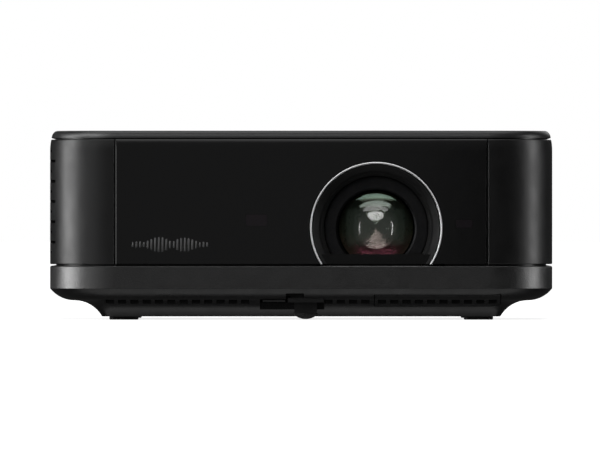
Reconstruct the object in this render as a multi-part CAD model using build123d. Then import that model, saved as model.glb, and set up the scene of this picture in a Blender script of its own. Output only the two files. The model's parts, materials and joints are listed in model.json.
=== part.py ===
"""A compact home projector, built as an assembly of separate pieces. Millimetres, +Z up.

The front, with the lens, faces -Y; +X is to the right for someone looking at the front. The origin is on
the ground, under the middle of the body. Insets are distances inwards from the body's vertical outline.
"""

import math
import os

from build123d import *

# Body outline
BODY_W = 190.0
BODY_D = 192.0
CORNER_R = 24.0
RIGHT, LEFT = BODY_W / 2, -BODY_W / 2
BACK, FRONT = BODY_D / 2, -BODY_D / 2

# Heights of the shells above the ground
Z_FLOOR = 1.2
Z_FLOOR_IN = 3.2
Z_HULL = 7.3
Z_BAND_LOW = 11.8
Z_BAND_TOP = 20.35
Z_PANEL_LOW = 21.0
Z_PANEL_TOP = 68.1
Z_COVER_LOW = 68.7
Z_COVER_IN = 69.2
Z_TOP = 71.4

# Shell sections
WALL = 2.2
HULL_WALL = 2.0
BAND_WALL = 1.9
HULL_TURN = 9.2
HULL_CONVEX_R = 11.65
HULL_CONCAVE_R = 12.0
TONGUE_IN, TONGUE_OUT, TONGUE_TOP = 2.3, 3.8, 22.6
SKIRT_IN, SKIRT_OUT, SKIRT_LOW = 2.3, 3.85, 65.6
EDGE = 0.25
SEAM_X = 70.25
SEAM_GAP = 0.5

# Lens
LENS_X = 28.3
LENS_Z = 34.6
OPENING_R = 25.25
RING_OUT, RING_IN = 25.12, 24.25
FUNNEL_R = 23.85
STEP_R = 21.6
MASK_R = 19.7
MASK_FLAT_Z = 24.8
MASK_FRONT, MASK_BACK = -91.5, -90.3
CELL_R = 19.3
BARREL_IN, BARREL_OUT = 19.38, 20.8
GLASS_R = 14.9
GLASS_APEX, GLASS_CURVE_R, GLASS_BACK_R = -89.0, 34.0, 32.0
GLASS_THICK = 1.4
FOCUS_TRAVEL = 1.5

# Focus gears
GEAR_MODULE = 0.6
RING_TEETH, PINION_TEETH = 76, 14
GEAR_FRONT, GEAR_BACK = -74.0, -66.0
PINION_ANGLE = 130.0

# Side grilles
SLOT_ROWS = 11
SLOT_ROW_PITCH = 3.83
SLOT_FIRST_Z = 25.5
SLOT_PITCH = 8.0
SLOT_LONG, SLOT_HIGH = 5.8, 1.1

# Front foot and its release lever
FOOT_X, FOOT_Y = 1.7, -82.5
LEG_W, LEG_D = 8.5, 6.4
LEG_LOW = 2.5
FOOT_STROKE = 16.0
GUIDE_LOW, GUIDE_TOP = 7.85, 16.4
LEG_HIGH = GUIDE_TOP + 0.1 + FOOT_STROKE
LEVER_X, LEVER_Z = -8.0, 11.0

# Air intake below the front edge
VENT_PITCH, VENT_WIDE = 4.65, 3.1
VENT_FRONT, VENT_BACK = FRONT + 6.6, FRONT + 14.5
HATCH_X0, HATCH_X1 = 27.5, 75.5
HATCH_Y0, HATCH_Y1 = FRONT + 2.35, FRONT + 16.3
HATCH_TOP = 10.6
HATCH_GAP = 0.3

# Case screws, board, ports and buttons
SCREW_X, SCREW_Y = 57.0, 69.0
BOARD_LOW, BOARD_TOP = 24.4, 26.0
PORT_FACE = 94.9
BUTTON_Y = 70.0
BUTTON_PITCH = 18.0
BUTTON_R = 4.4

# Fans
FAN_SIDE = 50.0
FAN_BORE = 23.2
FAN_BLADE_R = 22.3
INTAKE_FAN = (51.0, 38.0, 9.8)
EXHAUST_FAN = (77.0, 40.0, 42.0)
FAN_DEEP = 12.0

PARTS = "parts"


# ---------------------------------------------------------------- helpers
def block(x0, x1, y0, y1, z0, z1):
    """A box between two corners."""
    return Pos((x0 + x1) / 2, (y0 + y1) / 2, (z0 + z1) / 2) * Box(x1 - x0, y1 - y0, z1 - z0)


def rod_z(x, y, z0, z1, r):
    return Pos(x, y, (z0 + z1) / 2) * Cylinder(r, z1 - z0)


def rod_y(x, z, y0, y1, r):
    return Pos(x, (y0 + y1) / 2, z) * Rot(90, 0, 0) * Cylinder(r, y1 - y0)


def rod_x(y, z, x0, x1, r):
    return Pos((x0 + x1) / 2, y, z) * Rot(0, 90, 0) * Cylinder(r, x1 - x0)


def tube_y(x, z, y0, y1, outer, inner):
    return rod_y(x, z, y0, y1, outer) - rod_y(x, z, y0 - 1, y1 + 1, inner)


def rounded_plate(width, depth, radius, z0, z1):
    """An upright prism of a rounded rectangle, centred on the origin."""
    return Pos(0, 0, z0) * extrude(RectangleRounded(width, depth, radius), z1 - z0)


def pill_x(y, z, x0, x1, long, high):
    """A prism along X whose section is a slot, long along Y."""
    slot = Plane(origin=(x0, 0, 0), x_dir=(0, 1, 0), z_dir=(1, 0, 0)) * Pos(y, z) * SlotOverall(long, high)
    return extrude(slot, x1 - x0, dir=(1, 0, 0))


def polygon(points):
    return make_face([Line(a, b) for a, b in zip(points, points[1:] + points[:1])])


def revolved(outline, x, z):
    """A solid of revolution about the line along Y through x, z, from closed (radius, y) edges."""
    return Pos(x, 0, z) * revolve(make_face(outline), Axis.Y, 360)


def turned(points, x, z):
    """The same from the corner points of a straight-sided outline."""
    return revolved([Line(a, b) for a, b in zip(points, points[1:] + points[:1])], x, z)


def outline_path():
    """The body's outline as a closed path on the ground, from the middle of the front."""
    w, d, r = BODY_W / 2, BODY_D / 2, CORNER_R
    return Wire(
        [
            Line((0, -d), (w - r, -d)),
            CenterArc((w - r, -d + r), r, -90, 90),
            Line((w, -d + r), (w, d - r)),
            CenterArc((w - r, d - r), r, 0, 90),
            Line((w - r, d), (-w + r, d)),
            CenterArc((-w + r, d - r), r, 90, 90),
            Line((-w, d - r), (-w, -d + r)),
            CenterArc((-w + r, -d + r), r, 180, 90),
            Line((-w + r, -d), (0, -d)),
        ]
    )


def ring(edges):
    """A closed wall round the body, from the edges of its section drawn as (inset, height)."""
    section = Plane(origin=(0, FRONT, 0), x_dir=(0, 1, 0), z_dir=(1, 0, 0)) * make_face(edges)
    return sweep(section, path=outline_path())


def lines(points):
    return [Line(a, b) for a, b in zip(points, points[1:])]


def on_circle(centre, radius, degrees):
    a = math.radians(degrees)
    return (centre[0] + radius * math.cos(a), centre[1] + radius * math.sin(a))


def gear(teeth, width, bore, backlash=0.12):
    """A spur gear about Z with involute flanks, a tooth on +X."""
    pitch_r = GEAR_MODULE * teeth / 2
    base_r = pitch_r * math.cos(math.radians(20))
    outer_r, root_r = pitch_r + 0.9 * GEAR_MODULE, pitch_r - 1.2 * GEAR_MODULE
    involute = lambda r: math.tan(math.acos(base_r / r)) - math.acos(base_r / r)
    half = math.pi / (2 * teeth) - backlash / (2 * pitch_r)
    low_r = max(base_r, root_r + 0.05)
    flank_radii = [low_r + (outer_r - low_r) * step / 4 for step in range(5)]
    flank = [(r, half + involute(pitch_r) - involute(max(r, base_r))) for r in flank_radii]
    points = []
    for tooth in range(teeth):
        middle = 2 * math.pi * tooth / teeth
        rising = [(root_r, -flank[0][1])] + [(r, -a) for r, a in flank]
        falling = [(r, a) for r, a in reversed(flank)] + [(root_r, flank[0][1])]
        points += [(r * math.cos(middle + a), r * math.sin(middle + a)) for r, a in rising + falling]
    return extrude(polygon(points), width) - Pos(0, 0, -1) * extrude(Circle(bore), width + 2)


def along_y(solid, x, z, y):
    """A solid built about +Z, turned to lie along +Y with its base at y."""
    return Pos(x, y, z) * Rot(-90, 0, 0) * solid


# ---------------------------------------------------------------- shells
def hull_section():
    """The bottom shell's wall: a convex hull that turns into a concave flare down to the floor."""
    turn_out, turn_in = (HULL_TURN, Z_HULL), (HULL_TURN, Z_HULL + HULL_WALL)
    above, below = (HULL_TURN, Z_HULL + HULL_CONVEX_R), (HULL_TURN, Z_HULL - HULL_CONCAVE_R)
    outer_a = 180 + math.degrees(math.asin((above[1] - Z_BAND_LOW) / HULL_CONVEX_R))
    flare_a = math.degrees(math.asin((Z_FLOOR - below[1]) / HULL_CONCAVE_R))
    inner_r, flare_r = HULL_CONVEX_R - HULL_WALL, HULL_CONCAVE_R + HULL_WALL
    inner_a = 180 + math.degrees(math.acos((HULL_TURN - TONGUE_OUT) / inner_r))
    foot_a = math.degrees(math.asin((Z_FLOOR_IN - below[1]) / flare_r))
    outer_mid = on_circle(above, HULL_CONVEX_R, (outer_a + 270) / 2)
    flare_mid = on_circle(below, HULL_CONCAVE_R, (90 + flare_a) / 2)
    foot_out = on_circle(below, HULL_CONCAVE_R, flare_a)
    foot_in = on_circle(below, flare_r, foot_a)
    inner_top = on_circle(above, inner_r, inner_a)
    floor_end = 22.5
    return [
        ThreePointArc((0, Z_BAND_LOW), outer_mid, turn_out),
        ThreePointArc(turn_out, flare_mid, foot_out),
        *lines([foot_out, (floor_end, Z_FLOOR), (floor_end, Z_FLOOR_IN), foot_in]),
        ThreePointArc(foot_in, on_circle(below, flare_r, (90 + foot_a) / 2), turn_in),
        ThreePointArc(turn_in, on_circle(above, inner_r, (inner_a + 270) / 2), inner_top),
        *lines([inner_top, (TONGUE_OUT, TONGUE_TOP), (TONGUE_IN, TONGUE_TOP), (TONGUE_IN, Z_BAND_LOW)]),
        Line((TONGUE_IN, Z_BAND_LOW), (0, Z_BAND_LOW)),
    ]


def vent_slots(first_x, count):
    """A row of intake slots where the hull turns over."""
    slots = []
    for i in range(count):
        x = first_x + VENT_PITCH * i
        slots.append(block(x - VENT_WIDE / 2, x + VENT_WIDE / 2, VENT_FRONT, VENT_BACK, 4, 11))
    return slots


def hatch_zone(inset):
    """The space of the filter cover in the hull, less a gap all round."""
    x0, x1 = HATCH_X0 + inset, HATCH_X1 - inset
    return block(x0, x1, HATCH_Y0 + inset, HATCH_Y1 - inset, 3.0, HATCH_TOP - inset)


def fan_slots():
    """Parallel slots in the floor, filling a circle under the intake fan."""
    slots = []
    for i in range(-5, 6):
        x = INTAKE_FAN[0] + 3.8 * i
        long = 2 * math.sqrt(21.0**2 - (3.8 * i) ** 2)
        slot = Pos(x, INTAKE_FAN[1], 0) * Rot(0, 0, 90) * extrude(SlotOverall(long, 1.7), 5)
        slots.append(slot)
    return slots


def foot_pad_places():
    return [(sx * 67.1, sy * 68.5) for sx in (-1, 1) for sy in (-1, 1)]


def screw_places():
    return [(sx * SCREW_X, sy * SCREW_Y) for sx in (-1, 1) for sy in (-1, 1)]


def foot_openings():
    """The dark notch, the plate's pocket and the lever's pocket round the front foot."""
    notch = block(-5.75, 1.1, FRONT - 1, FRONT + 9.5, 6, 10.0)
    plate_pocket = block(-5.3, 8.7, -91.2, -78.4, 3.5, 12)
    lever_pocket = block(-15.6, -5.3, -90.0, -78.4, 3.5, 12)
    return [notch, plate_pocket, lever_pocket]


def bottom_case():
    shell = ring(hull_section())
    floor_w, floor_d = BODY_W - 2 * 22, BODY_D - 2 * 22
    shell += rounded_plate(floor_w, floor_d, 2.0, Z_FLOOR, Z_FLOOR_IN)
    for x, y in screw_places():
        shell += rod_z(x, y, Z_FLOOR, 22.0, 4.8)
        shell -= rod_z(x, y, Z_FLOOR - 1, 16.0, 3.6) + rod_z(x, y, 15, 23, 1.7)
    for x, y in board_posts():
        low = Z_FLOOR_IN - 0.5 if y < 74 else 7.6
        shell += rod_z(x, y, low, BOARD_LOW, 3.0) - rod_z(x, y, 16, 30, 1.2)
    for x, y in ((-6, -42), (-6, 8), (40, -42), (40, 8)):
        shell += rod_z(x, y, Z_FLOOR_IN - 0.5, 11.0, 3.0)
    shell += rod_z(0, 30, Z_FLOOR_IN - 0.5, 10.4, 7.5)
    shell -= rod_z(0, 30, 0, 9.4, 4.2)
    for x, y in foot_pad_places():
        shell -= Pos(x, y, 0) * extrude(RectangleRounded(11.1, 11.1, 2.55), Z_FLOOR + 0.5)
    lens_clearance = block(LENS_X - 26, LENS_X + 26, FRONT, FRONT + 6, Z_BAND_TOP, TONGUE_TOP + 1)
    vents = vent_slots(-72.3, 12) + vent_slots(10.3, 4)
    return shell.cut(*vents, *fan_slots(), *foot_openings(), hatch_zone(0), lens_clearance)


def base_band():
    top, low = Z_BAND_TOP, Z_BAND_LOW + 0.05
    points = [(0, low), (BAND_WALL, low), (BAND_WALL, top), (0.35, top), (0, top - 0.35), (0, low)]
    return ring(lines(points))


def panel_ring():
    """The wall between the base band and the top cover, leaning in a little near its top."""
    lean_from, lean_in = 63.9, 0.36
    shoulder = (lean_in, Z_PANEL_TOP - EDGE)
    edges = lines([(WALL, Z_PANEL_LOW), (EDGE, Z_PANEL_LOW), (0, Z_PANEL_LOW + EDGE), (0, lean_from)])
    edges.append(TangentArc((0, lean_from), shoulder, tangent=(0, 1)))
    edges += lines([shoulder, (lean_in + EDGE, Z_PANEL_TOP), (WALL, Z_PANEL_TOP), (WALL, Z_PANEL_LOW)])
    return ring(edges)


def seam_bevel(x, y):
    """A small upright prism, turned 45 degrees, that bevels a panel's end at a seam."""
    side = 0.3 * math.sqrt(2)
    return Pos(x, y, 45) * Rot(0, 0, 45) * Box(side, side, 60)


def grille_slots(side, first_y, last_y):
    """Staggered pill slots through one side wall; side is -1 for left."""
    solids = []
    for row in range(SLOT_ROWS):
        z = SLOT_FIRST_Z + SLOT_ROW_PITCH * row
        y = first_y + (0 if row % 2 else SLOT_PITCH / 2)
        while y <= last_y:
            x0, x1 = (LEFT - 1, LEFT + 7) if side < 0 else (RIGHT - 7, RIGHT + 1)
            solids.append(pill_x(y, z, x0, x1, SLOT_LONG, SLOT_HIGH))
            y += SLOT_PITCH
    return solids


def side_panel(side):
    """A wrap-round side panel with its corner screw posts and the laps behind the two seams."""
    inner = SEAM_X + SEAM_GAP / 2
    keep = block(inner, RIGHT + 1, FRONT - 1, BACK + 1, 10, 80)
    panel = (panel_ring() & keep) - seam_bevel(inner, FRONT) - seam_bevel(inner, BACK)
    for sy in (-1, 1):
        lap_out, lap_in = sy * (BACK - WALL), sy * (BACK - WALL - 1.5)
        panel += block(inner - 3, inner + 4, min(lap_out, lap_in), max(lap_out, lap_in), 23.5, 65.0)
    if side < 0:
        panel = mirror(panel, Plane.YZ)
    first_y, last_y = (-79.0, 72.0) if side < 0 else (-62.0, 72.0)
    return panel.cut(*grille_slots(side, first_y, last_y))


def grille_cloths():
    """The fine cloth that backs the slots of both sides."""
    near, far = WALL + 0.05, WALL + 0.45
    cloth = ring(lines([(near, 23.2), (far, 23.2), (far, 65.3), (near, 65.3), (near, 23.2)]))
    right = cloth & block(RIGHT - 12, RIGHT, -84, 78, 20, 70)
    return Compound(children=[right.solid(), mirror(right, Plane.YZ).solid()])


def sensor_places():
    """(name, x, z, width, height) of the two dark windows in the front panel."""
    return {"ir_window": (61.4, 36.3, 6.4, 3.1), "camera_window": (-16.9, 37.6, 8.0, 4.4)}


def window_prism(name, grow, y0, y1):
    x, z, wide, high = sensor_places()[name]
    face = Plane(origin=(0, y0, 0), x_dir=(1, 0, 0), z_dir=(0, -1, 0)) * Pos(x, z)
    return extrude(face * RectangleRounded(wide + grow, high + grow, 0.5), y1 - y0, dir=(0, 1, 0))


def front_panel():
    outer = SEAM_X - SEAM_GAP / 2
    panel = panel_ring() & block(-outer, outer, FRONT - 1, FRONT + 4, 10, 80)
    panel -= block(-outer, outer, FRONT + WALL - 0.1, FRONT + 4, 10, 80)
    panel = panel - seam_bevel(outer, FRONT) - seam_bevel(-outer, FRONT)
    panel -= rod_y(LENS_X, LENS_Z, FRONT - 1, FRONT + 4, OPENING_R)
    for name in sensor_places():
        panel -= window_prism(name, 0.1, FRONT - 1, FRONT + 4)
    return panel


def sensor_window(name):
    return window_prism(name, 0.0, FRONT + 0.08, FRONT + 1.9)


def sensor_modules():
    """The remote-control receiver and the focusing camera, each on a small board behind its window."""
    solids = []
    for name, (x, z, wide, high) in sensor_places().items():
        y = FRONT + 2.4
        body = block(x - wide / 2 + 0.6, x + wide / 2 - 0.6, y, y + 4, z - high / 2, z + high / 2)
        body += block(x - wide / 2 - 1, x + wide / 2 + 1, y + 4, y + 5, z - high / 2 - 4, z + high / 2 + 4)
        if name == "camera_window":
            body += rod_y(x, z, y - 0.3, y + 1, 1.6)
        solids.append(body.solid())
    return Compound(children=solids)


def rear_vents():
    cut = []
    for row in range(5):
        z = 46.0 + SLOT_ROW_PITCH * row
        x = -60.0 + (SLOT_PITCH / 2 if row % 2 else 0)
        while x <= 60.0:
            cut.append(Rot(0, 0, 90) * pill_x(-x, z, BACK - 4, BACK + 1, SLOT_LONG, SLOT_HIGH))
            x += SLOT_PITCH
    return cut


def port_cuts():
    """The openings for the sockets, through the floor of the shallow port bay."""
    y0, y1 = BACK - 4, BACK + 1
    dc, hdmi, usb, audio = port_places()
    bay = Plane(origin=(0, PORT_FACE + 0.1, 0), x_dir=(1, 0, 0), z_dir=(0, 1, 0)) * Pos(-27, 31.5)
    bay = extrude(bay * RectangleRounded(80, 17, 3), 2, dir=(0, 1, 0))
    return [
        bay,
        rod_y(dc, 31.0, y0, y1, 4.2),
        block(hdmi - 7.9, hdmi + 7.9, y0, y1, 25.9, 32.4),
        block(usb - 7.0, usb + 7.0, y0, y1, 25.9, 33.2),
        rod_y(audio, 29.6, y0, y1, 3.4),
    ]


def port_places():
    """X of the power inlet, the video socket, the USB socket and the audio jack."""
    return -57.0, -38.0, -17.0, 2.0


def rear_panel():
    outer = SEAM_X - SEAM_GAP / 2
    panel = panel_ring() & block(-outer, outer, BACK - 4, BACK + 1, 10, 80)
    panel -= block(-outer, outer, BACK - 4, BACK - WALL + 0.1, 10, 80)
    panel = panel - seam_bevel(outer, BACK) - seam_bevel(-outer, BACK)
    lock_slot = block(54.0, 61.0, BACK - 4, BACK + 1, 29.0, 32.0)
    return panel.cut(*rear_vents(), *port_cuts(), lock_slot)


def button_places():
    names = ("power_button", "source_button", "volume_down_button", "volume_up_button")
    return {name: BUTTON_PITCH * (i - 1.5) for i, name in enumerate(names)}


def top_cover():
    crown, rim = (1.9, Z_TOP - 0.25), (2.5, Z_TOP)
    plate_end = 22.5
    edges = [
        ThreePointArc((0.58, Z_COVER_LOW), (1.05, Z_COVER_LOW + 1.55), crown),
        *lines([crown, rim, (plate_end, Z_TOP), (plate_end, Z_COVER_IN), (SKIRT_OUT, Z_COVER_IN)]),
        *lines([(SKIRT_OUT, Z_COVER_IN), (SKIRT_OUT, SKIRT_LOW), (SKIRT_IN, SKIRT_LOW)]),
        *lines([(SKIRT_IN, SKIRT_LOW), (SKIRT_IN, Z_COVER_LOW), (0.58, Z_COVER_LOW)]),
    ]
    cover = ring(edges) + rounded_plate(BODY_W - 44, BODY_D - 44, 2.0, Z_COVER_IN, Z_TOP)
    cover -= Pos(0, BUTTON_Y, Z_TOP - 0.4) * extrude(SlotOverall(78, 14), 1)
    for x in button_places().values():
        cover -= rod_z(x, BUTTON_Y, 69, 72, BUTTON_R + 0.3)
    cover -= rod_z(0, BUTTON_Y, 69, 72, 1.0)
    for x in (-36, 36):
        cover += rod_z(x, BUTTON_Y - 8, 63.7, Z_COVER_IN + 0.5, 2.0)
    for x, y in screw_places():
        cover += rod_z(x, y, 22.2, Z_COVER_IN + 0.5, 3.2) - rod_z(x, y, 21, 32, 1.55)
    return cover


# ---------------------------------------------------------------- lens surround
def lens_ring():
    """The bright half-round trim ring round the lens, cut off where it meets the base band."""
    back, shoulder = FRONT + 3.0, FRONT + 0.4
    outline = lines([(RING_IN, shoulder), (RING_IN, back), (RING_OUT, back), (RING_OUT, shoulder)])
    crest = ((RING_OUT + RING_IN) / 2, FRONT)
    outline.append(ThreePointArc((RING_OUT, shoulder), crest, (RING_IN, shoulder)))
    return revolved(outline, LENS_X, LENS_Z) & block(0, 60, FRONT - 1, FRONT + 4, Z_PANEL_LOW + 0.05, 70)


def lens_bezel():
    """The dark funnel round the lens, with the D-shaped mask at its back and, below, a sill and a
    lip that keeps light out of the joint with the base band."""
    outer = RING_IN - 0.05
    points = [
        (MASK_R, MASK_BACK),
        (outer, MASK_BACK),
        (outer, FRONT + 0.2),
        (FUNNEL_R, FRONT + 0.2),
        (STEP_R, FRONT + 2.6),
        (STEP_R - 0.7, FRONT + 2.8),
        (MASK_R, MASK_FRONT),
    ]
    funnel = turned(points, LENS_X, LENS_Z)
    sill = rod_y(LENS_X, LENS_Z, FRONT + 1.2, MASK_BACK, outer) & block(0, 60, -100, -80, 10, MASK_FLAT_Z)
    surround = (funnel + sill) & block(0, 60, -100, -80, Z_PANEL_LOW + 0.05, 70)
    lip_x0, lip_x1 = LENS_X - 17, LENS_X + 17
    return surround + block(lip_x0, lip_x1, MASK_FRONT, MASK_BACK, 19.2, MASK_FLAT_Z)


# ---------------------------------------------------------------- lens
def front_lens_cell():
    """The sliding cell whose flat front ring shows round the glass."""
    front = MASK_BACK + 0.5 + FOCUS_TRAVEL
    points = [
        (GLASS_R + 0.05, front + 1.6),
        (GLASS_R - 0.3, front + 1.4),
        (GLASS_R - 0.3, front + 0.5),
        (GLASS_R + 0.4, front),
        (CELL_R, front),
        (CELL_R, -72.0),
        (17.2, -72.0),
        (17.2, -80.0),
        (GLASS_R + 0.05, -80.0),
    ]
    return turned(points, LENS_X, LENS_Z)


def dome(radius, apex, curve_r):
    """A ball of curve_r whose foremost point is at apex on the lens axis, cut to radius."""
    ball = Pos(LENS_X, apex + curve_r, LENS_Z) * Sphere(curve_r)
    return ball & rod_y(LENS_X, LENS_Z, apex - 1, apex + curve_r, radius)


def front_lens():
    """The domed front element: a meniscus whose cylindrical edge sits in the cell."""
    hollow_pole = GLASS_APEX + GLASS_THICK
    edge_back = hollow_pole + GLASS_BACK_R - math.sqrt(GLASS_BACK_R**2 - GLASS_R**2)
    glass = dome(GLASS_R, GLASS_APEX, GLASS_CURVE_R) & block(0, 60, -100, edge_back, 0, 70)
    return glass - Pos(LENS_X, hollow_pole + GLASS_BACK_R, LENS_Z) * Sphere(GLASS_BACK_R)


def lens_barrel():
    """The fixed barrel, with the square flange that bolts to the optical chassis."""
    barrel = tube_y(LENS_X, LENS_Z, -86.0, -46.0, BARREL_OUT, BARREL_IN)
    flange = block(LENS_X - 24, LENS_X + 24, -49.0, -46.0, LENS_Z - 21.6, LENS_Z + 24)
    flange -= rod_y(LENS_X, LENS_Z, -50, -45, BARREL_IN)
    shoulder = tube_y(LENS_X, LENS_Z, GEAR_BACK + 0.15, GEAR_BACK + 1.6, 22.0, BARREL_IN)
    barrel += flange + shoulder
    for sx in (-1, 1):
        for sz in (-1, 1):
            barrel -= rod_y(LENS_X + 21 * sx, LENS_Z + 18.6 * sz, -50, -45, 1.3)
    return barrel


def inner_lens_holder():
    """The fixed stepped holder of the inner elements, pressed into the back of the barrel."""
    points = [(12.1, -69.5), (CELL_R, -69.5), (CELL_R, -46.0), (9.1, -46.0), (9.1, -53.0), (10.1, -53.0)]
    points += [(10.1, -61.0), (12.1, -61.0)]
    return turned(points, LENS_X, LENS_Z)


def inner_lenses():
    """Three fixed elements: a hollow-fronted one, a full one and the last one by the prism."""
    first = turned([(0, -66.0), (12.0, -69.0), (12.0, -64.5), (0, -64.5)], LENS_X, LENS_Z)
    second = dome(10.0, -60.5, 26.0) & block(0, 60, -100, -56.5, 0, 70)
    third = dome(9.0, -52.5, 22.0) & block(0, 60, -100, -48.5, 0, 70)
    return Compound(children=[first.solid(), second.solid(), third.solid()])


def focus_ring():
    """The toothed ring round the barrel that drives the cell in and out."""
    width = GEAR_BACK - GEAR_FRONT
    toothed = Rot(0, 0, -PINION_ANGLE) * gear(RING_TEETH, width, BARREL_OUT + 0.08)
    return along_y(toothed, LENS_X, LENS_Z, GEAR_FRONT)


def pinion_place():
    distance = GEAR_MODULE * (RING_TEETH + PINION_TEETH) / 2
    a = math.radians(PINION_ANGLE)
    return LENS_X + distance * math.cos(a), LENS_Z + distance * math.sin(a)


def focus_pinion():
    """The motor's pinion and shaft, with a tooth gap facing the ring."""
    x, z = pinion_place()
    turn = -(PINION_ANGLE + 180) + 180.0 / PINION_TEETH
    toothed = along_y(Rot(0, 0, turn) * gear(PINION_TEETH, 9.0, 0.5), x, z, GEAR_FRONT - 0.5)
    return toothed + rod_y(x, z, GEAR_FRONT - 1.5, -58.0, 1.0)


def focus_motor():
    x, z = pinion_place()
    motor = rod_y(x, z, -63.5, -49.1, 6.0) + block(x - 9, x, -63.5, -62.5, z - 3.5, z + 3.5)
    return motor - rod_y(x, z, -64, -56, 1.06)


# ---------------------------------------------------------------- light engine
PRISM = (LENS_X, -27.0, LENS_Z)


def optical_chassis():
    """The cast tray under the prism and lamps, with the front wall that holds the lens."""
    tray = block(-12, 64, -45.9, 12, 11.0, 13.0)
    wall = block(LENS_X - 24, LENS_X + 24, -45.9, -43.0, 13.0, LENS_Z + 24)
    wall -= rod_y(LENS_X, LENS_Z, -47, -42, 13)
    pad = block(LENS_X - 11, LENS_X + 11, PRISM[1] - 11, PRISM[1] + 11, 13.0, LENS_Z - 11.1)
    return tray + wall + pad


def prism_cube():
    x, y, z = PRISM
    return block(x - 11, x + 11, y - 11, y + 11, z - 11, z + 11)


def around_prism(builder):
    """builder(distance axis solid) placed left, right and behind the prism."""
    x, y, z = PRISM
    return [Pos(x, y, z) * Rot(0, 0, turn) * builder() for turn in (0, 90, 180)]


def lcd_panels():
    return Compound(children=[s.solid() for s in around_prism(lambda: block(11.6, 13.4, -11, 11, -11, 11))])


def condenser_lenses():
    disc = lambda: rod_x(0, 0, 16.0, 20.0, 10.5)
    return Compound(children=[s.solid() for s in around_prism(disc)])


def led_modules():
    """The red, green and blue lamps: a carrier plate, a raised die and its hood."""
    lamp = lambda: block(26.5, 30.0, -11, 11, -13, 13) + block(24.5, 26.5, -4, 4, -4, 4)
    return Compound(children=[s.solid() for s in around_prism(lamp)])


def heatsink():
    x0, x1, y0, y1, z0, z1 = 41.0, 73.0, 16.0, 60.0, 28.0, 62.0
    sink = block(x0, x1, y0, y1, z0, z0 + 3)
    pitch, thin = 3.0, 0.8
    y = y0
    while y + thin <= y1 + 1e-6:
        sink += block(x0, x1, y, y + thin, z0 + 2, z1)
        y += pitch
    return sink


def heat_pipes():
    """Two flattened copper pipes from the lamps to the heatsink's base."""
    x, y, z = PRISM
    right = x + 30.3
    side = block(right, right + 3, y - 10, 26, z - 12, z - 8)
    side = side + block(right - 12, right + 3, 14.0, 30.0, z - 12, z - 8)
    back = block(x - 10, 50, y + 30.3, y + 33.3, z - 12, z - 8)
    back = back + block(42, 50, y + 30.3, 30.0, z - 12, z - 8)
    return Compound(children=[(side + back).solid()])


# ---------------------------------------------------------------- fans
def fan_frame():
    """A square fan frame about Z, its motor mount held by three struts on the base side."""
    frame = Pos(0, 0, FAN_DEEP / 2) * Box(FAN_SIDE, FAN_SIDE, FAN_DEEP)
    frame -= Pos(0, 0, FAN_DEEP / 2) * Cylinder(FAN_BORE, FAN_DEEP + 2)
    for sx in (-1, 1):
        for sy in (-1, 1):
            frame -= Pos(21 * sx, 21 * sy, FAN_DEEP / 2) * Cylinder(1.7, FAN_DEEP + 2)
    hub = Pos(0, 0, 0.9) * Cylinder(9.0, 1.8)
    for turn in (0, 120, 240):
        hub += Rot(0, 0, turn) * block(8, FAN_BORE + 0.5, -1.5, 1.5, 0, 1.8)
    return frame + hub


def fan_rotor():
    """A hub cup with seven twisted blades."""
    rotor = Pos(0, 0, 6.6) * Cylinder(9.5, 9.0) - Pos(0, 0, 5.3) * Cylinder(8.3, 7.4)
    ring_space = Pos(0, 0, 6.6) * Cylinder(FAN_BLADE_R, 8.6) - Pos(0, 0, 6.6) * Cylinder(9.2, 10)
    for turn in range(7):
        blade = Rot(0, 0, turn * 360 / 7) * Pos(16, 0, 6.6) * Rot(38, 0, 0) * Box(15, 12.5, 1.0)
        rotor += blade & ring_space
    return rotor


def place_intake(shape):
    return Pos(*INTAKE_FAN) * shape


def place_exhaust(shape):
    return Pos(*EXHAUST_FAN) * Rot(0, 90, 0) * shape


# ---------------------------------------------------------------- speakers
SPEAKER = {-1: (-90.8, -20.0, 44.0), 1: (90.8, -20.0, 44.0)}


def place_speaker(shape, side):
    """Turns a speaker piece built facing +Z so that it faces out of its side."""
    return Pos(*SPEAKER[side]) * Rot(0, 90 * side, 0) * shape


def about_z(points):
    section = Plane.XZ * polygon(points)
    return revolve(section, Axis.Z, 360)


def speaker_driver():
    """The steel basket, with the magnet behind it."""
    points = [(17.4, 0), (20.6, 0), (20.6, -1.5), (18.6, -1.5), (18.6, -3.0), (12.0, -10.0), (12.0, -17.0)]
    points += [(0, -17.0), (0, -10.0), (10.6, -10.0), (17.4, -3.0)]
    return about_z(points)


def speaker_cone():
    """The diaphragm in one piece: half-roll edge, cone and dust cap."""
    points = [(17.1, -1.2), (16.6, -0.5), (15.6, -0.3), (14.7, -0.9), (6.0, -5.2), (4.5, -4.4), (0, -3.8)]
    points += [(0, -4.3), (4.4, -5.0), (5.0, -7.6), (5.6, -7.6), (6.0, -5.9), (14.6, -1.5), (15.6, -0.9)]
    points += [(16.5, -1.2), (17.1, -1.7)]
    return about_z(points)


def speaker_box():
    """The sealed enclosure behind one driver."""
    back, front = -27.0, -1.5
    outer = block(-21, 21, -24, 24, back, front)
    inner = block(-19.5, 19.5, -22.5, 22.5, back + 1.5, front - 1.5)
    return outer - inner - rod_z(0, 0, front - 3, front + 1, 18.8)


def both_sides(builder):
    return Compound(children=[place_speaker(builder(), side).solid() for side in (-1, 1)])


# ---------------------------------------------------------------- electronics
def board_posts():
    return ((-60.0, 30.0), (-60.0, 84.0), (6.0, 40.0), (20.0, 84.0))


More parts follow.
